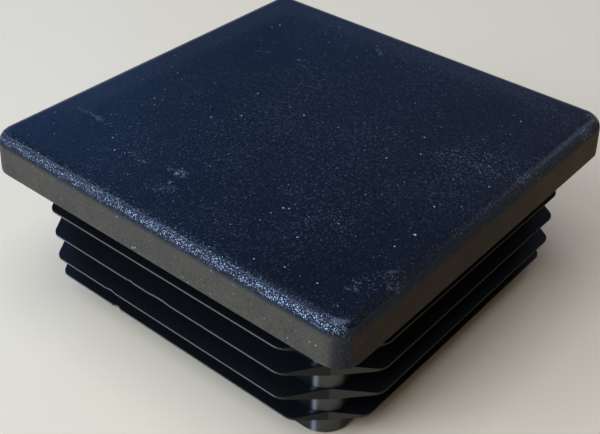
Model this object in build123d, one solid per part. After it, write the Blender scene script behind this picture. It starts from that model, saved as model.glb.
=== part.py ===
from build123d import *
import os
from math import cos, radians, tan

# Square ribbed end cap for a square steel tube, moulded in one piece in polyethylene.
# Millimetres, +Z up. The origin is the middle of the plug's open rim, on which the cap stands.

# Head: the square plate that covers the tube's end
head_side = 50.0
head_thickness = 4.7
head_corner_radius = 2.7
head_edge_radius = 1.6
head_draft = 3.2
head_skin = 2.4

# Tube that the cap is made for: as wide as the head
tube_wall = 1.5

# Skirt: the hollow box below the head that carries the fins
skirt_wall = 1.8
skirt_corner_radius = 3.3
hollow_corner_radius = 1.5
hollow_ceiling_radius = 0.8
hollow_draft = 0.5
rim_edge_radius = 0.25

# Fins: thin lips round the skirt that bend against the tube's wall
fin_count = 4
fin_pitch = 3.3
fin_grip = 0.4
fin_reach = 3.4
fin_tip_thickness = 0.2
fin_underside_angle = 16.5
fin_corner_radius = 1.55
first_fin_drop = 2.62
lead_fin_step = 0.95
rim_tail = 3.3

# Notch: the open V that parts the fins of two sides at each corner
notch_opening = 159.0
notch_web = 0.09

# Dents worn into the tips on the front side: fin from the top, middle along X, width, depth
tip_dents = [(2, -4.2, 0.9, 0.09), (2, 0.3, 3.0, 0.12), (3, -7.7, 1.5, 0.12), (4, -8.2, 1.3, 0.2)]

# Places and sizes that follow from the values above
skirt_depth = first_fin_drop + (fin_count - 1) * fin_pitch + rim_tail
fin_side = head_side - 2 * tube_wall + 2 * fin_grip
lead_fin_side = fin_side - 2 * lead_fin_step
skirt_side = fin_side - 2 * fin_reach
hollow_side = skirt_side - 2 * skirt_wall
hollow_depth = skirt_depth + head_thickness - head_skin
skirt_corner_reach = skirt_side / 2 - skirt_corner_radius * (1 - cos(radians(45)))
notch_root = skirt_corner_reach + notch_web
notch_arm_angle = notch_opening / 2 - 45

def square_block(side, radius, height, taper=0.0):
    """Upright block on a square with rounded corners, standing on Z = 0."""
    return extrude(RectangleRounded(side, side, radius), height, taper=taper)

def head():
    block = square_block(head_side, head_corner_radius, head_thickness, head_draft)
    top_edges = block.faces().sort_by(Axis.Z)[-1].edges()
    return Pos(Z=skirt_depth) * fillet(top_edges, head_edge_radius)

def skirt():
    # It runs halfway into the head, so that the two are one body
    block = square_block(skirt_side, skirt_corner_radius, skirt_depth + head_thickness / 2)
    rim_edges = block.faces().sort_by(Axis.Z)[0].edges()
    return fillet(rim_edges, rim_edge_radius)

def hollow():
    block = square_block(hollow_side, hollow_corner_radius, hollow_depth, hollow_draft)
    ceiling_edges = block.faces().sort_by(Axis.Z)[-1].edges()
    return fillet(ceiling_edges, hollow_ceiling_radius)

def fin_outline(side):
    """Square seen from above with a rounded, open V notch at each corner."""
    tip = side / 2
    kink = notch_root - (tip - notch_root) * tan(radians(notch_arm_angle))
    corner = [Vector(kink, -tip), Vector(notch_root, -notch_root), Vector(tip, -kink)]
    points = [point.rotate(Axis.Z, 90 * quarter) for quarter in range(4) for point in corner]
    outline = make_face(Polyline(*points, close=True))
    # The notch's own root lies on the diagonal and stays sharp
    kinks = [v for v in outline.vertices() if abs(abs(v.X) - abs(v.Y)) > notch_web]
    return fillet(kinks, fin_corner_radius)

def fin(side, dents):
    """One fin, its flat upper face at Z = 0 and its underside rising to a thin tip."""
    slope = tan(radians(fin_underside_angle))
    root = skirt_side / 2 - skirt_wall / 2
    depth = fin_tip_thickness + (side / 2 - root) * slope
    prism = extrude(fin_outline(side), -depth)
    # The underside's four planes, carried past the tip and above the upper face
    rise = fin_tip_thickness
    wide = side + 2 * (fin_tip_thickness + rise) / slope
    wedge = loft([Pos(Z=rise) * Rectangle(wide, wide), Pos(Z=-depth) * Rectangle(2 * root, 2 * root)])
    body = prism & wedge
    for place, width, bite in dents:
        radius = width ** 2 / (8 * bite) + bite / 2
        body = body - Pos(place, -side / 2 - radius + bite) * Cylinder(radius, 2 * depth)
    return body

def fins():
    first_top = skirt_depth - first_fin_drop
    bodies = []
    for number in range(1, fin_count + 1):
        side = lead_fin_side if number == fin_count else fin_side
        dents = [dent[1:] for dent in tip_dents if dent[0] == number]
        top = first_top - (number - 1) * fin_pitch
        bodies.append(Pos(Z=top) * fin(side, dents))
    return bodies

def end_cap():
    body = head() + skirt()
    for one_fin in fins():
        body = body + one_fin
    return body - hollow()

os.makedirs("parts", exist_ok=True)
export_step(end_cap(), "parts/end_cap.step")
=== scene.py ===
import math

import bpy
from mathutils import Matrix, Vector


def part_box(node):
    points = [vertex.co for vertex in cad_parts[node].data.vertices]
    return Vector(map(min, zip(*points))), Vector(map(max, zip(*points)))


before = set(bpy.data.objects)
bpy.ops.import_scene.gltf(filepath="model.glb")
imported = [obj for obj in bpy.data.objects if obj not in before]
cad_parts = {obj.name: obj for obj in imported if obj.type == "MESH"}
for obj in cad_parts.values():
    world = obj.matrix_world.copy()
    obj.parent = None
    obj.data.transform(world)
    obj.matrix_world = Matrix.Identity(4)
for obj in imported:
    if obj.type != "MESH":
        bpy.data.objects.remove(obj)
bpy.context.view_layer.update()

mm = 0.001

# Square ribbed end cap in black polyethylene. The imported node carries the whole shape,
# and this script gives it its moulded surface, its wear, painted highlights and shade, the light and the
# camera.


def hexToLinear(hexColor):
    parts = [int(hexColor[i:i + 2], 16) / 255 for i in (1, 3, 5)]
    linear = [p / 12.92 if p <= 0.04045 else ((p + 0.055) / 1.055) ** 2.4 for p in parts]
    return (*linear, 1.0)


def addNode(tree, kind, settings=None, inputs=None):
    # An input is a value, a socket, or a node, whose first output is then taken
    node = tree.nodes.new(kind)
    for name, value in (settings or {}).items():
        setattr(node, name, value)
    for key, value in (inputs or {}).items():
        if isinstance(value, bpy.types.Node):
            value = value.outputs[0]
        if isinstance(value, bpy.types.NodeSocket):
            tree.links.new(value, node.inputs[key])
        else:
            node.inputs[key].default_value = value
    return node


# The cap's own measures. Its height and its width are read from the frame.
capLow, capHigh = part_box("end_cap")
headThickness = 4.7 * mm
cap = {
    "halfSide": capHigh.x,
    "top": capHigh.z,
    "underside": capHigh.z - headThickness,   # where the head meets the plug
    "rimLean": 0.056,                         # the mould's draft, as a share of the rim's height
    "wallCorner": 17.2 * mm,                  # centre of the plug's rounded corners, along X and along Y
    "wallRadius": 3.3 * mm,
}
print("stage: frame loaded, cap is", [round(v / mm, 2) for v in capHigh - capLow], "mm")

polyethylene = {
    "colours": {
        "body": "#0b0e13",
        "bodyCool": "#0f131b",
        "marginSheen": "#1b1d21",       # painted sheen: outside the plug's walls the top is a little paler, on two sides
        # painted glints: the pale flecks on the top's grain
        "fleck": "#575859",
        # painted glints on single pebbles
        "prick": "#86888a",
        "edgeGlint": "#adb7c2",    # painted glints on the head's rounded upper edge, over the lamps' own glint
        "scuff": "#74777d",
        "dust": "#b2aea5",
        # rim colours: their olive paleness over black plastic is a painted reflection of the floor
        "rim": "#4e4735",
        "rimDark": "#322d25",
        "rimPit": "#26231d",
        "rimSpeck": "#7d7a70",
        "chip": "#b3ab98",
        "shadedSide": "#a0741c",        # painted shade: the side that faces +X is drawn darker and browner, less so at its far end
        "shadedSideThin": "#ffe2a0",
        "fin": "#070706",
        "cut": "#352f23",          # the notches, painted paler as a reflection of the floor
        # painted shade: the notch faces that face +X, away from the front
        "cutShade": "#120e08",
        # the fins' tips, palest, a painted reflection of the floor
        "tip": "#5b574e",
        "corner": "#3e3b35",       # the plug's rounded corners, painted paler as a reflection of the floor
        # painted gleam: the pale upright line on one corner of the plug
        "paintedGleam": "#b4b9c0",
    },
    "ior": 1.43,
    "roughness": {
        "head": 0.24,
        "edge": 0.88,
        "edgeGlint": 0.3,
        "dust": 0.7,
        "rim": 0.72,
        "shadedSide": 1.0,
        "fin": 0.48,
        "cut": 0.85,
    },
    "patternMm": {                 # how far apart the parts of each pattern stand
        "grain": 0.27,             # spark-eroded pebbles, drawn about twice as coarse as the finest to show
        "fleck": 0.2,
        "edgeGlint": 0.125,
        "prick": 0.62,
        "patch": 9,
        "ragged": 0.5,
        "dust": 1.7,
        "blotch": 2.6,
        "grime": 0.22,
        "pit": 0.75,
    },
    "grainDepthMm": 0.023,
    "raggedReachMm": 1.4,          # how far a scuff's outline strays
    "spanMm": {                    # where each of these starts, and where it has its full strength
        "head": (-0.05, 0.02),         # up from the head's underside
        "grainLeft": (-20, -4),        # along X
        "grainBack": (20, 2),          # along Y
        "grainCorner": (-38, -24),     # along Y minus X, from the front corner
        "farSides": (-4, 14),          # the same
        "marginSheen": (1.5, 4.5),          # outward from the plug's corner centres
        "pricks": (18, -8),            # along Y
        "edgeGlints": (-12, 20),       # along X
        "shadedSideThins": (-8, 24),         # along Y
        "shadedCut": (-21, -8),          # along Y
        "offWall": (0.03, 0.07),       # outward from the plug's wall
        "nearWall": (0.8, 0.1),        # the same
        "gleamSide": (-19.6, -20.1),  # along Y
    },
    "lean": {                      # the same, read from the surface normal
        "top": (0.05, 0.38),           # its Z
        "corner": (0.22, 0.46),        # the size of X times Y, 0.5 where an upright corner is half turned
        "aboveEdge": (0.99, 0.7),      # its Z
        "belowEdge": (0.14, 0.58),     # its Z
        "front": (-0.05, -0.25),       # its Y, and some of its X
        "roughEdge": (0.69, 0.62),     # its Z, less a fifth on the front
        "plusX": (0.5, 0.85),          # its X
        "upright": (0.4, 0.15),        # the size of its Z
        "tip": (0.35, 0.1),            # the size of X times Y
        "rounded": (0.24, 0.4),        # the same
    },
    "worn": [                      # painted glints: where the top's grain gets more pale flecks: centre, size, turn and amount
        {"at": (18.2, 5.7), "size": (9.0, 4.5), "turn": 25, "amount": 0.5},
        {"at": (13.4, -11.7), "size": (5.5, 4.0), "turn": 0, "amount": 0.15},
        {"at": (8.3, 4.7), "size": (4.0, 2.6), "turn": 32, "amount": 0.35},
        {"at": (22.6, -17.2), "size": (6.0, 2.6), "turn": 60, "amount": 0.5},
        {"at": (20.9, 4.7), "size": (3.6, 1.9), "turn": 10, "amount": 0.6},
        {"at": (18.4, 2.4), "size": (3.2, 1.6), "turn": 26, "amount": 0.5},
        {"at": (24.5, 12.0), "size": (20.0, 1.7), "turn": 90, "amount": 0.38},
    ],
    "scuffs": [                    # short pale rubs that a tube's edge leaves, same measures
        {"at": (-19.9, -15.0), "size": (3.6, 0.7), "turn": 6, "amount": 0.28},
        {"at": (-17.9, -15.1), "size": (2.4, 0.65), "turn": -8, "amount": 0.4},
        {"at": (-15.8, -15.2), "size": (1.3, 0.5), "turn": -4, "amount": 0.22},
        {"at": (-9.2, -17.7), "size": (1.9, 0.35), "turn": -19, "amount": 0.55},
        {"at": (-7.8, -17.9), "size": (1.5, 0.45), "turn": 5, "amount": 0.65},
        {"at": (-4.2, -17.0), "size": (1.4, 0.5), "turn": -2, "amount": 0.4},
        {"at": (-3.2, -16.8), "size": (2.1, 1.2), "turn": 6, "amount": 0.9},
        {"at": (-2.6, -18.6), "size": (0.9, 0.45), "turn": 89, "amount": 1.0},
        {"at": (-2.5, -19.8), "size": (3.2, 1.7), "turn": 27, "amount": 0.28},
        {"at": (-15.0, 9.3), "size": (2.6, 0.35), "turn": 32, "amount": 0.35},
        {"at": (-9.8, 10.8), "size": (1.0, 0.35), "turn": 12, "amount": 0.75},
        {"at": (-4.1, 19.2), "size": (2.1, 0.45), "turn": -26, "amount": 0.6},
        {"at": (24.3, 20.0), "size": (2.8, 0.8), "turn": 87, "amount": 0.6},
        {"at": (23.5, 22.5), "size": (1.8, 0.8), "turn": -29, "amount": 0.45},
        {"at": (23.8, 6.7), "size": (3.0, 0.8), "turn": 80, "amount": 0.3},
        {"at": (22.8, -15.4), "size": (1.8, 0.8), "turn": 56, "amount": 0.35},
        {"at": (21.5, -19.5), "size": (1.7, 1.1), "turn": 31, "amount": 0.3},
        {"at": (24.0, -16.7), "size": (1.8, 0.8), "turn": 65, "amount": 0.35},
        {"at": (21.2, -18.5), "size": (1.1, 0.3), "turn": -19, "amount": 0.6},
    ],
    "specks": [                    # lint and dust that lies on the top: X, Y and radius
        (21.1, -9.2, 0.21), (8.8, -14.3, 0.15), (9.3, -14.0, 0.12), (-1.1, 0.8, 0.14), (-8.3, 1.0, 0.13),
        (-6.3, -4.0, 0.12), (-8.6, -6.5, 0.13), (-11.5, -18.3, 0.13), (-13.5, -16.8, 0.12),
        (-16.4, -7.9, 0.10), (-18.2, 16.4, 0.13), (-18.6, 15.3, 0.11), (12.9, -17.0, 0.12),
        (12.0, -22.2, 0.12), (14.5, -12.7, 0.10), (11.1, -0.1, 0.12), (19.9, -4.1, 0.13),
        (22.2, 2.6, 0.12), (18.0, 16.3, 0.12), (11.8, 6.1, 0.12), (18.6, -21.0, 0.12),
        (14.9, -21.2, 0.12), (20.7, -12.0, 0.12), (24.3, -14.3, 0.14), (13.4, 3.0, 0.12),
    ],
    "rimSpecks": [                 # chips on the rim's -Y side: X, height over the underside, radius
        (-4.06, 3.12, 0.14), (-1.86, 0.39, 0.2), (-1.5, 0.6, 0.14), (-0.98, 0.17, 0.12),
        (-6.25, 2.82, 0.1), (-9.4, 2.26, 0.07), (21.74, 1.79, 0.13), (18.53, 0.75, 0.11),
        (23.0, 1.6, 0.12), (23.7, 3.9, 0.12), (19.43, 2.16, 0.07), (4.3, 2.5, 0.08),
        (7.65, 1.48, 0.07), (11.5, 1.22, 0.07), (-17.0, 3.0, 0.07),
    ],
    "gleamLineMm": (18.36, 0.72),  # X and half width of the painted gleam, a pale upright line on one plug corner
}

# Settings that many nodes share
soft = {"interpolation_type": "SMOOTHSTEP"}
times = {"operation": "MULTIPLY"}
plus = {"operation": "ADD"}
minus = {"operation": "SUBTRACT"}
timesPlus = {"operation": "MULTIPLY_ADD"}
larger = {"operation": "MAXIMUM"}
smallerThan = {"operation": "LESS_THAN"}
absolute = {"operation": "ABSOLUTE"}
length = {"operation": "LENGTH"}
blend = {"data_type": "RGBA"}
seenFromAbove = {"voronoi_dimensions": "2D"}


def inBlenderUnits(recipe):
    # Linear colours, pattern scales, and each span as a Map Range node's inputs 1 and 2
    colour = {name: hexToLinear(code) for name, code in recipe["colours"].items()}
    scale = {name: 1 / (gap * mm) for name, gap in recipe["patternMm"].items()}
    span = {name: {1: start * mm, 2: full * mm} for name, (start, full) in recipe["spanMm"].items()}
    lean = {name: {1: start, 2: full} for name, (start, full) in recipe["lean"].items()}
    return {**recipe, "colour": colour, "scale": scale, "span": span, "lean": lean}


def markMask(tree, place, marks):
    # Soft ellipses on the top, each as strong as its amount
    total = None
    for mark in marks:
        x, y = mark["at"]
        long, wide = mark["size"]
        local = addNode(tree, "ShaderNodeMapping", {"vector_type": "TEXTURE"}, {
            "Vector": place, "Location": (x * mm, y * mm, 0.0),
            "Rotation": (0.0, 0.0, math.radians(mark["turn"])),
            "Scale": (long / 2 * mm, wide / 2 * mm, 1.0)})
        fromMiddle = addNode(tree, "ShaderNodeVectorMath", length, {0: local})
        mask = addNode(tree, "ShaderNodeMapRange", soft, {
            0: fromMiddle.outputs["Value"], 1: 1.25, 2: 0.45, 4: mark["amount"]})
        if total:
            mask = addNode(tree, "ShaderNodeMath", larger, {0: total, 1: mask})
        total = mask
    return total


def speckMask(tree, place, specks):
    # Small round dots at given places
    total = None
    for x, y, z, radius in specks:
        away = addNode(tree, "ShaderNodeVectorMath", {"operation": "DISTANCE"}, {0: place, 1: (x, y, z)})
        mask = addNode(tree, "ShaderNodeMapRange", inputs={
            0: away.outputs["Value"], 1: 0.82 * radius * mm, 2: 0.4 * radius * mm})
        if total:
            mask = addNode(tree, "ShaderNodeMath", larger, {0: total, 1: mask})
        total = mask
    return total


def readSurface(tree, look):
    # Where a point lies on the cap and how it faces, with the masks that follow from that
    span, lean = look["span"], look["lean"]
    where = addNode(tree, "ShaderNodeTexCoord")
    place = where.outputs["Object"]
    x, y, z = addNode(tree, "ShaderNodeSeparateXYZ", inputs={0: place}).outputs
    facingX, facingY, facingZ = addNode(
        tree, "ShaderNodeSeparateXYZ", inputs={0: where.outputs["Normal"]}).outputs
    overHead = addNode(tree, "ShaderNodeMath", minus, {0: z, 1: cap["underside"]})
    onHead = addNode(tree, "ShaderNodeMapRange", soft, {0: overHead, **span["head"]})
    onPlusX = addNode(tree, "ShaderNodeMapRange", soft, {0: facingX, **lean["plusX"]})

    # The grained skin: all of the top, fading down its rounded edge and thinly down the upright corners
    onTop = addNode(tree, "ShaderNodeMapRange", soft, {0: facingZ, **lean["top"]})
    turned = addNode(tree, "ShaderNodeMath", times, {0: facingX, 1: facingY})
    turned = addNode(tree, "ShaderNodeMath", absolute, {0: turned})
    onCorner = addNode(tree, "ShaderNodeMapRange", soft, {0: turned, **lean["corner"], 4: 0.8})
    skin = addNode(tree, "ShaderNodeMath", larger, {0: onTop, 1: onCorner})

    # How far out a point lies, measured from the centres of the plug's rounded corners
    fromCorner = addNode(tree, "ShaderNodeVectorMath", absolute, {0: place})
    fromCorner = addNode(tree, "ShaderNodeVectorMath", minus, {
        0: fromCorner, 1: (cap["wallCorner"], cap["wallCorner"], 1.0)})
    fromCorner = addNode(tree, "ShaderNodeVectorMath", larger, {0: fromCorner, 1: (0.0, 0.0, 0.0)})
    outward = addNode(tree, "ShaderNodeVectorMath", length, {0: fromCorner}).outputs["Value"]

    # How much of the grain shows: less where the top is polished smooth, near -X and the front corner
    across = addNode(tree, "ShaderNodeMath", minus, {0: y, 1: x})
    grainLeft = addNode(tree, "ShaderNodeMapRange", soft, {0: x, **span["grainLeft"], 3: 0.6})
    grainCorner = addNode(tree, "ShaderNodeMapRange", soft, {0: across, **span["grainCorner"], 3: 0.55})
    grainShare = addNode(tree, "ShaderNodeMath", times, {0: grainLeft, 1: grainCorner})
    return {
        "place": place, "x": x, "y": y, "facingX": facingX, "facingY": facingY, "facingZ": facingZ,
        "onHead": onHead, "onPlusX": onPlusX, "onTop": onTop, "onCorner": onCorner, "skin": skin,
        "turned": turned, "outward": outward, "across": across, "grainShare": grainShare,
    }


def pebbledBump(tree, look, at):
    # Domes over a wrinkled ground, flatter at the back of the top and gone below the head
    scale = look["scale"]["grain"]
    pebbles = addNode(tree, "ShaderNodeTexVoronoi", {"feature": "SMOOTH_F1"}, {
        "Vector": at["place"], "Scale": scale, "Smoothness": 0.35})
    domes = addNode(tree, "ShaderNodeMapRange", soft, {0: pebbles, 1: 0.75, 2: 0.0})
    wrinkles = addNode(tree, "ShaderNodeTexNoise", inputs={
        "Vector": at["place"], "Scale": scale * 0.45, "Detail": 3.0, "Roughness": 0.7, "Distortion": 0.5})
    relief = addNode(tree, "ShaderNodeMath", timesPlus, {0: wrinkles, 1: 1.6, 2: domes})
    grainBack = addNode(tree, "ShaderNodeMapRange", soft, {0: at["y"], **look["span"]["grainBack"], 3: 0.3})
    strength = addNode(tree, "ShaderNodeMath", times, {0: at["onHead"], 1: at["skin"]})
    strength = addNode(tree, "ShaderNodeMath", times, {0: strength, 1: at["grainShare"]})
    strength = addNode(tree, "ShaderNodeMath", times, {0: strength, 1: grainBack})
    strength = addNode(tree, "ShaderNodeMapRange", inputs={0: strength, 1: 0.25, 3: 0.1})
    return addNode(tree, "ShaderNodeBump", inputs={
        "Strength": strength, "Distance": look["grainDepthMm"] * mm, "Height": relief})


def topFlecks(tree, look, at, patches, squiggles):
    # Pale flecks painted on the pebbles' heads as glints of the grain, stronger in some patches than in
    # others
    flecks = addNode(tree, "ShaderNodeMapRange", soft, {0: squiggles, 1: 0.54, 2: 0.7})
    share = addNode(tree, "ShaderNodeMapRange", soft, {0: patches, 1: 0.35, 2: 0.65, 3: 0.2, 4: 0.45})
    share = addNode(tree, "ShaderNodeMath", times, {0: share, 1: at["grainShare"]})
    share = addNode(tree, "ShaderNodeMath", timesPlus, {0: at["onCorner"], 1: 0.35, 2: share})
    worn = markMask(tree, at["place"], look["worn"])
    share = addNode(tree, "ShaderNodeMath", plus, {0: share, 1: worn})
    return addNode(tree, "ShaderNodeMath", times, {0: flecks, 1: share})


def topPricks(tree, look, at):
    # Pinpricks: painted glints on single pebbles, drawn as if they catch the light by themselves, more of
    # them towards -Y
    cells = addNode(tree, "ShaderNodeTexVoronoi", seenFromAbove, {
        "Vector": at["place"], "Scale": look["scale"]["prick"]})
    kind = addNode(tree, "ShaderNodeSeparateColor", inputs={0: cells.outputs["Color"]})
    reach = addNode(tree, "ShaderNodeMapRange", inputs={0: kind, 1: 0.35, 4: 0.1})
    pricks = addNode(tree, "ShaderNodeMath", smallerThan, {0: cells.outputs["Distance"], 1: reach})
    share = addNode(tree, "ShaderNodeMapRange", soft, {
        0: at["y"], **look["span"]["pricks"], 3: 0.1, 4: 0.35})
    share = addNode(tree, "ShaderNodeMath", times, {0: share, 1: at["grainShare"]})
    share = addNode(tree, "ShaderNodeMath", times, {0: share, 1: at["onTop"]})
    return addNode(tree, "ShaderNodeMath", times, {0: pricks, 1: share})


def topDust(tree, look, at):
    # Specks at given places, and fine loose dust over all of the top
    cells = addNode(tree, "ShaderNodeTexVoronoi", seenFromAbove, {
        "Vector": at["place"], "Scale": look["scale"]["dust"]})
    kind = addNode(tree, "ShaderNodeSeparateColor", inputs={0: cells.outputs["Color"]})
    reach = addNode(tree, "ShaderNodeMapRange", inputs={0: kind, 1: 0.5, 4: 0.045})
    loose = addNode(tree, "ShaderNodeMath", smallerThan, {0: cells.outputs["Distance"], 1: reach})
    share = addNode(tree, "ShaderNodeMapRange", inputs={0: kind.outputs["Green"], 3: 0.15, 4: 0.6})
    loose = addNode(tree, "ShaderNodeMath", times, {0: loose, 1: share})
    specks = [(alongX * mm, alongY * mm, cap["top"], radius) for alongX, alongY, radius in look["specks"]]
    dust = addNode(tree, "ShaderNodeMath", larger, {0: speckMask(tree, at["place"], specks), 1: loose})
    return addNode(tree, "ShaderNodeMath", times, {0: dust, 1: at["onTop"]})


def topScuffs(tree, look, at, squiggles):
    # The marks' outlines are made ragged, and the grain shows through them
    ragged = addNode(tree, "ShaderNodeTexNoise", inputs={
        "Vector": at["place"], "Scale": look["scale"]["ragged"], "Detail": 2.0})
    shift = addNode(tree, "ShaderNodeVectorMath", minus, {0: ragged.outputs["Color"], 1: (0.5, 0.5, 0.5)})
    reach = look["raggedReachMm"] * mm
    strayed = addNode(tree, "ShaderNodeVectorMath", timesPlus, {
        0: shift, 1: (reach, reach, reach), 2: at["place"]})
    ground = addNode(tree, "ShaderNodeMapRange", soft, {0: squiggles, 1: 0.48, 2: 0.64, 3: 0.03, 4: 0.95})
    return addNode(tree, "ShaderNodeMath", times, {
        0: markMask(tree, strayed, look["scuffs"]), 1: ground})


def edgeGlintsAndDulling(tree, look, at):
    # Small bright squiggles are painted on the rounded edge on the -Y side as its glints, densest in its
    # lower half.
    # The second mask is where the edge between them is dull.
    span, lean = look["span"], look["lean"]
    noise = addNode(tree, "ShaderNodeTexNoise", inputs={
        "Vector": at["place"], "Scale": look["scale"]["edgeGlint"], "Detail": 1.0, "Distortion": 0.6})
    thinAbove = addNode(tree, "ShaderNodeMapRange", soft, {
        0: at["facingZ"], **lean["aboveEdge"], 3: -0.1, 4: 0.0})
    thinBelow = addNode(tree, "ShaderNodeMapRange", soft, {
        0: at["facingZ"], **lean["belowEdge"], 3: -0.22, 4: 0.0})
    noise = addNode(tree, "ShaderNodeMath", plus, {0: noise, 1: thinAbove})
    noise = addNode(tree, "ShaderNodeMath", plus, {0: noise, 1: thinBelow})
    share = addNode(tree, "ShaderNodeMapRange", soft, {0: at["x"], **span["edgeGlints"], 3: 0.55})
    flecks = addNode(tree, "ShaderNodeMapRange", soft, {0: noise, 1: 0.565, 2: 0.65, 4: share})

    # At the front corner the painted glints end before the edge has turned to +X
    towardsSide = addNode(tree, "ShaderNodeMath", larger, {0: at["facingX"], 1: 0.0})
    frontness = addNode(tree, "ShaderNodeMath", timesPlus, {0: towardsSide, 1: 0.55, 2: at["facingY"]})
    onFront = addNode(tree, "ShaderNodeMapRange", soft, {0: frontness, **lean["front"]})
    flecks = addNode(tree, "ShaderNodeMath", times, {0: flecks, 1: onFront})
    tilt = addNode(tree, "ShaderNodeMath", timesPlus, {0: onFront, 1: -0.2, 2: at["facingZ"]})
    dull = addNode(tree, "ShaderNodeMapRange", soft, {0: tilt, **lean["roughEdge"]})
    return flecks, dull


def topColour(tree, look, at, patches, layers):
    # Black with cooler patches and a paler band along the two far sides, a painted sheen, then each layer
    # over it
    colour, span = look["colour"], look["span"]
    top = addNode(tree, "ShaderNodeMix", blend, {0: patches, 6: colour["body"], 7: colour["bodyCool"]})
    marginSheen = addNode(tree, "ShaderNodeMapRange", soft, {0: at["outward"], **span["marginSheen"]})
    farSides = addNode(tree, "ShaderNodeMapRange", soft, {0: at["across"], **span["farSides"]})
    marginSheen = addNode(tree, "ShaderNodeMath", times, {0: marginSheen, 1: farSides})
    for name, mask in {"marginSheen": marginSheen, **layers}.items():
        top = addNode(tree, "ShaderNodeMix", blend, {0: mask, 6: top.outputs[2], 7: colour[name]})
    return top.outputs[2]


def rimColour(tree, look, at):
    # Moulded against smooth steel, then blotched and mottled by handling, with pits, specks and chips. Its
    # olive paleness over the black is a painted reflection of the floor
    colour, scale = look["colour"], look["scale"]
    blotches = addNode(tree, "ShaderNodeTexNoise", inputs={
        "Vector": at["place"], "Scale": scale["blotch"], "Detail": 4.0, "Roughness": 0.6})
    grime = addNode(tree, "ShaderNodeTexNoise", inputs={
        "Vector": at["place"], "Scale": scale["grime"], "Detail": 3.0, "Roughness": 0.65})
    blotchShare = addNode(tree, "ShaderNodeMapRange", soft, {0: blotches, 1: 0.3, 2: 0.7, 4: 0.35})
    shade = addNode(tree, "ShaderNodeMapRange", soft, {0: grime, 1: 0.34, 2: 0.66, 4: 0.8})
    shade = addNode(tree, "ShaderNodeMath", plus, {0: shade, 1: blotchShare})
    rim = addNode(tree, "ShaderNodeMix", blend, {0: shade, 6: colour["rimDark"], 7: colour["rim"]})

    cells = addNode(tree, "ShaderNodeTexVoronoi", inputs={"Vector": at["place"], "Scale": scale["pit"]})
    kind = addNode(tree, "ShaderNodeSeparateColor", inputs={0: cells.outputs["Color"]})
    reach = addNode(tree, "ShaderNodeMapRange", inputs={0: kind, 1: 0.3, 4: 0.16})
    pits = addNode(tree, "ShaderNodeMath", smallerThan, {0: cells.outputs["Distance"], 1: reach})
    pits = addNode(tree, "ShaderNodeMath", times, {0: pits, 1: 0.8})
    isPale = addNode(tree, "ShaderNodeMath", {"operation": "GREATER_THAN"}, {
        0: kind.outputs["Green"], 1: 0.6})
    pitColour = addNode(tree, "ShaderNodeMix", blend, {
        0: isPale, 6: colour["rimPit"], 7: colour["rimSpeck"]})
    rim = addNode(tree, "ShaderNodeMix", blend, {0: pits, 6: rim.outputs[2], 7: pitColour.outputs[2]})

    # Painted shade: the +X side is darkened and browned, following the grime's noise
    thin = addNode(tree, "ShaderNodeMapRange", soft, {0: at["y"], **look["span"]["shadedSideThins"]})
    shadedSide = addNode(tree, "ShaderNodeMix", blend, {0: thin, 6: colour["shadedSide"], 7: colour["shadedSideThin"]})
    share = addNode(tree, "ShaderNodeMapRange", soft, {0: grime, 1: 0.42, 2: 0.58, 3: 0.55})
    share = addNode(tree, "ShaderNodeMath", times, {0: share, 1: at["onPlusX"]})
    rim = addNode(tree, "ShaderNodeMix", {"data_type": "RGBA", "blend_type": "MULTIPLY"}, {
        0: share, 6: rim.outputs[2], 7: shadedSide.outputs[2]})

    specks = []
    for alongX, height, radius in look["rimSpecks"]:
        leaned = cap["rimLean"] * height * mm - cap["halfSide"]
        specks.append((alongX * mm, leaned, cap["underside"] + height * mm, radius))
    chips = addNode(tree, "ShaderNodeMath", times, {0: speckMask(tree, at["place"], specks), 1: 0.8})
    rim = addNode(tree, "ShaderNodeMix", blend, {0: chips, 6: rim.outputs[2], 7: colour["chip"]})
    return rim.outputs[2]


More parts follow.
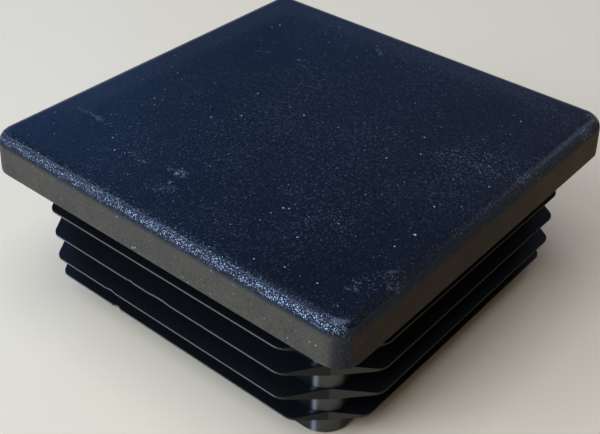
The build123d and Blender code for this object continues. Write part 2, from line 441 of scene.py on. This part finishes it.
def plugColour(tree, look, at):
    # Black walls and flats. The faces at the notches are painted paler, the fins' tips the palest, as a
    # painted reflection of the floor; those that face +X get a painted brown shade. The second result is
    # where a face is trimmed.
    colour, span, lean = look["colour"], look["span"], look["lean"]
    steep = addNode(tree, "ShaderNodeMath", absolute, {0: at["facingZ"]})
    upright = addNode(tree, "ShaderNodeMapRange", soft, {0: steep, **lean["upright"]})
    fromWall = addNode(tree, "ShaderNodeMath", minus, {0: at["outward"], 1: cap["wallRadius"]})
    offWall = addNode(tree, "ShaderNodeMapRange", inputs={0: fromWall, **span["offWall"]})
    trimmed = addNode(tree, "ShaderNodeMath", times, {0: upright, 1: offWall})
    atTip = addNode(tree, "ShaderNodeMapRange", soft, {0: at["turned"], **lean["tip"]})
    # Painted shade: trimmed faces that face +X turn dark brown, less near the front
    brown = addNode(tree, "ShaderNodeMapRange", soft, {0: at["y"], **span["shadedCut"], 3: 0.75})
    brown = addNode(tree, "ShaderNodeMath", times, {0: brown, 1: at["onPlusX"]})
    cut = addNode(tree, "ShaderNodeMix", blend, {0: atTip, 6: colour["cut"], 7: colour["tip"]})
    cut = addNode(tree, "ShaderNodeMix", blend, {0: brown, 6: cut.outputs[2], 7: colour["cutShade"]})

    # A painted gleam: one corner of the plug gets a pale upright line, which runs out a little over the
    # fins
    lineX, halfWidth = look["gleamLineMm"]
    fromLine = addNode(tree, "ShaderNodeMath", minus, {0: at["x"], 1: lineX * mm})
    fromLine = addNode(tree, "ShaderNodeMath", absolute, {0: fromLine})
    paintedGleam = addNode(tree, "ShaderNodeMapRange", soft, {0: fromLine, 1: halfWidth * mm, 2: 0.0})
    paintedGleam = addNode(tree, "ShaderNodeMath", {"operation": "POWER"}, {0: paintedGleam, 1: 3.5})
    onSide = addNode(tree, "ShaderNodeMapRange", inputs={0: at["y"], **span["gleamSide"], 4: 0.5})
    paintedGleam = addNode(tree, "ShaderNodeMath", times, {0: paintedGleam, 1: onSide})
    runOut = addNode(tree, "ShaderNodeMapRange", soft, {0: fromWall, **span["nearWall"], 4: 0.35})
    runOut = addNode(tree, "ShaderNodeMath", larger, {0: runOut, 1: upright})
    paintedGleam = addNode(tree, "ShaderNodeMath", times, {0: paintedGleam, 1: runOut})

    # The plug's rounded corners are painted paler than the black, as a reflection of the floor
    rounded = addNode(tree, "ShaderNodeMapRange", soft, {0: at["turned"], **lean["rounded"]})
    rounded = addNode(tree, "ShaderNodeMath", times, {0: rounded, 1: upright})
    plug = addNode(tree, "ShaderNodeMix", blend, {0: rounded, 6: colour["fin"], 7: colour["corner"]})
    plug = addNode(tree, "ShaderNodeMix", blend, {0: paintedGleam, 6: plug.outputs[2], 7: colour["paintedGleam"]})
    plug = addNode(tree, "ShaderNodeMix", blend, {0: trimmed, 6: plug.outputs[2], 7: cut.outputs[2]})
    return plug.outputs[2], trimmed


def capRoughness(tree, look, at, layers, dullEdge, trimmed):
    # Satin grain with its edge worn duller, a matt rim, glossier fins
    rough = look["roughness"]
    edge = addNode(tree, "ShaderNodeMapRange", inputs={
        0: layers["edgeGlint"], 2: 0.6, 3: rough["edge"], 4: rough["edgeGlint"]})
    top = addNode(tree, "ShaderNodeMapRange", inputs={0: dullEdge, 3: rough["head"], 4: edge})
    rim = addNode(tree, "ShaderNodeMapRange", inputs={0: at["onPlusX"], 3: rough["rim"], 4: rough["shadedSide"]})
    head = addNode(tree, "ShaderNodeMapRange", inputs={0: at["skin"], 3: rim, 4: top})
    plug = addNode(tree, "ShaderNodeMapRange", inputs={0: trimmed, 3: rough["fin"], 4: rough["cut"]})
    whole = addNode(tree, "ShaderNodeMapRange", inputs={0: at["onHead"], 3: plug, 4: head})
    dulled = addNode(tree, "ShaderNodeMath", larger, {0: layers["dust"], 1: layers["scuff"]})
    return addNode(tree, "ShaderNodeMapRange", inputs={0: dulled, 3: whole, 4: rough["dust"]})


def moulded(recipe):
    # Low-density polyethylene, injection moulded in black. The mould's top is spark eroded, so the
    # head has a fine pebbled satin that sparkles where light grazes it; part of that sparkle is painted as
    # pale flecks. Its rim and fins come from plain cut steel and are smoother.
    material = bpy.data.materials.new("sparkErodedPolyethylene")
    material.use_nodes = True
    tree = material.node_tree
    tree.nodes.clear()
    look = inBlenderUnits(recipe)
    at = readSurface(tree, look)
    patches = addNode(tree, "ShaderNodeTexNoise", inputs={
        "Vector": at["place"], "Scale": look["scale"]["patch"], "Detail": 3.0, "Roughness": 0.55})
    squiggles = addNode(tree, "ShaderNodeTexNoise", inputs={
        "Vector": at["place"], "Scale": look["scale"]["fleck"],
        "Detail": 2.0, "Roughness": 0.55, "Distortion": 0.8})
    edgeGlints, dullEdge = edgeGlintsAndDulling(tree, look, at)
    # From the lowest layer to the highest, named as their colours are
    layers = {
        "fleck": topFlecks(tree, look, at, patches, squiggles),
        "prick": topPricks(tree, look, at),
        "edgeGlint": edgeGlints,
        "scuff": topScuffs(tree, look, at, squiggles),
        "dust": topDust(tree, look, at),
    }
    top = topColour(tree, look, at, patches, layers)
    rim = rimColour(tree, look, at)
    plug, trimmed = plugColour(tree, look, at)
    head = addNode(tree, "ShaderNodeMix", blend, {0: at["skin"], 6: rim, 7: top})
    colour = addNode(tree, "ShaderNodeMix", blend, {0: at["onHead"], 6: plug, 7: head.outputs[2]})
    shader = addNode(tree, "ShaderNodeBsdfPrincipled", inputs={
        "Base Color": colour.outputs[2], "IOR": look["ior"], "Normal": pebbledBump(tree, look, at),
        "Roughness": capRoughness(tree, look, at, layers, dullEdge, trimmed)})
    addNode(tree, "ShaderNodeOutputMaterial", inputs={"Surface": shader})
    return material


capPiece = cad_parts["end_cap"]
capPiece.data.materials.clear()
capPiece.data.materials.append(moulded(polyethylene))
print("stage: cap dressed")

studio = {
    "floor": "#f6d9ae",
    "floorRadiusMm": 900,
    "wallRadiusMm": 160,
    "wallHeightMm": 165,
    "bendSteps": 16,
    "turns": 96,
    "floorRoughness": 0.25,     # satin board, so that the plug mirrors the window's gleam on it
    "airLeft": "#34507c",       # what the cap sees above the backdrop, cool towards the window
    "airRight": "#6a645f",
    "airTurns": (-0.66, 0.1),   # where left becomes right, along a direction's X
    "airLow": 1.7,              # its strength near the floor and overhead
    "airHigh": 0.4,
    "airFades": (0.38, 0.62),   # where low becomes high, along a direction's Z
}


def makeFloor(plan):
    # A round floor that rolls up into a low wall on all sides, so that every view has the same pale ground
    flat = (plan["floorRadiusMm"] - plan["wallRadiusMm"]) * mm
    bend = plan["wallRadiusMm"] * mm
    profile = [(0.0, 0.0), (flat, 0.0)]
    for step in range(1, plan["bendSteps"] + 1):
        angle = math.radians(90) * step / plan["bendSteps"]
        profile.append((flat + bend * math.sin(angle), bend * (1 - math.cos(angle))))
    profile.append((flat + bend, plan["wallHeightMm"] * mm))
    turns = plan["turns"]
    verts, faces = [(0.0, 0.0, 0.0)], []
    for radius, height in profile[1:]:
        for turn in range(turns):
            angle = math.radians(360) * turn / turns
            verts.append((radius * math.cos(angle), radius * math.sin(angle), height))
    for turn in range(turns):
        after = (turn + 1) % turns
        faces.append((0, 1 + turn, 1 + after))
        for ring in range(len(profile) - 2):
            low, high = 1 + ring * turns, 1 + (ring + 1) * turns
            faces.append((low + turn, high + turn, high + after, low + after))
    mesh = bpy.data.meshes.new("paleFloor")
    mesh.from_pydata(verts, [], faces)
    mesh.polygons.foreach_set("use_smooth", [True] * len(mesh.polygons))
    floor = bpy.data.objects.new("paleFloor", mesh)
    bpy.context.scene.collection.objects.link(floor)
    paint = bpy.data.materials.new("satinBoard")
    paint.use_nodes = True
    shader = paint.node_tree.nodes["Principled BSDF"]
    shader.inputs["Base Color"].default_value = hexToLinear(plan["floor"])
    shader.inputs["Roughness"].default_value = plan["floorRoughness"]
    mesh.materials.append(paint)


def makeAir(plan):
    # The world's light, cool on the left and warm on the right, weaker above than near the floor
    world = bpy.data.worlds.new("studioAir")
    bpy.context.scene.world = world
    world.use_nodes = True
    tree = world.node_tree
    tree.nodes.clear()
    where = addNode(tree, "ShaderNodeTexCoord")
    xyz = addNode(tree, "ShaderNodeSeparateXYZ", inputs={0: where.outputs["Generated"]})
    left, right = plan["airTurns"]
    side = addNode(tree, "ShaderNodeMapRange", soft, {0: xyz.outputs["X"], 1: left, 2: right})
    air = addNode(tree, "ShaderNodeMix", blend, {
        0: side, 6: hexToLinear(plan["airLeft"]), 7: hexToLinear(plan["airRight"])})
    low, high = plan["airFades"]
    strength = addNode(tree, "ShaderNodeMapRange", soft, {
        0: xyz.outputs["Z"], 1: low, 2: high, 3: plan["airLow"], 4: plan["airHigh"]})
    glow = addNode(tree, "ShaderNodeBackground", inputs={"Color": air.outputs[2], "Strength": strength})
    addNode(tree, "ShaderNodeOutputWorld", inputs={"Surface": glow})


# A window and its curtain in front, weak sky light on two sides, and a soft light from above
softboxes = [
    {"name": "windowLeft", "azimuth": -34, "elevation": 31, "distanceMm": 600, "sizeMm": (700, 360),
     "watts": 5.0, "color": "#b9d3ff"},
    {"name": "curtainLeft", "azimuth": -14, "elevation": 47, "distanceMm": 650, "sizeMm": (760, 560),
     "watts": 2.2, "color": "#b9d3ff"},
    {"name": "skyLeft", "azimuth": -108, "elevation": 31, "distanceMm": 650, "sizeMm": (420, 420),
     "watts": 0.21, "color": "#6ea4ff"},
    {"name": "backRight", "azimuth": 165, "elevation": 32, "distanceMm": 600, "sizeMm": (240, 170),
     "watts": 0.13, "color": "#b8ccff"},
    {"name": "overhead", "azimuth": 0, "elevation": 88, "distanceMm": 700, "sizeMm": (500, 500),
     "watts": 3.15, "color": "#c2d8ff"},
]


def towards(azimuth, elevation):
    # The direction out from the cap: azimuth 0 is in front, on -Y, and 90 on +X
    turn, lift = math.radians(azimuth), math.radians(elevation)
    return Vector((math.sin(turn) * math.cos(lift), -math.cos(turn) * math.cos(lift), math.sin(lift)))


def addSoftbox(plan):
    toLamp = towards(plan["azimuth"], plan["elevation"])
    lamp = bpy.data.lights.new(plan["name"], "AREA")
    lamp.shape = "RECTANGLE"
    lamp.size, lamp.size_y = [side * mm for side in plan["sizeMm"]]
    lamp.energy = plan["watts"]
    lamp.color = hexToLinear(plan["color"])[:3]
    holder = bpy.data.objects.new(plan["name"], lamp)
    holder.location = toLamp * plan["distanceMm"] * mm
    holder.rotation_mode = "QUATERNION"
    holder.rotation_quaternion = toLamp.to_track_quat("Z", "Y")
    bpy.context.scene.collection.objects.link(holder)


makeFloor(studio)
makeAir(studio)
for softbox in softboxes:
    addSoftbox(softbox)
print("stage: studio lit")

cameraPlan = {
    "azimuth": 38.975,
    "elevation": 36.501,
    "roll": 1.634,
    "distanceMm": 119.606,
    "aimMm": (0.573, -1.459, 8.240),
    "lensMm": 60.64,
    "sensorMm": 36,
    "nearestMm": 5,
}


def addCamera(plan):
    turn, roll = math.radians(plan["azimuth"]), math.radians(plan["roll"])
    back = towards(plan["azimuth"], plan["elevation"])
    level = Vector((math.cos(turn), math.sin(turn), 0.0))
    upright = back.cross(level)
    right = level * math.cos(roll) + upright * math.sin(roll)
    up = upright * math.cos(roll) - level * math.sin(roll)
    lens = bpy.data.cameras.new("bench")
    lens.lens = plan["lensMm"]
    lens.sensor_width = plan["sensorMm"]
    lens.clip_start = plan["nearestMm"] * mm
    camera = bpy.data.objects.new("bench", lens)
    camera.rotation_mode = "QUATERNION"
    camera.rotation_quaternion = Matrix((right, up, back)).transposed().to_quaternion()
    camera.location = Vector(plan["aimMm"]) * mm + back * plan["distanceMm"] * mm
    bpy.context.scene.collection.objects.link(camera)
    bpy.context.scene.camera = camera


addCamera(cameraPlan)
bpy.context.scene.view_settings.view_transform = "Standard"
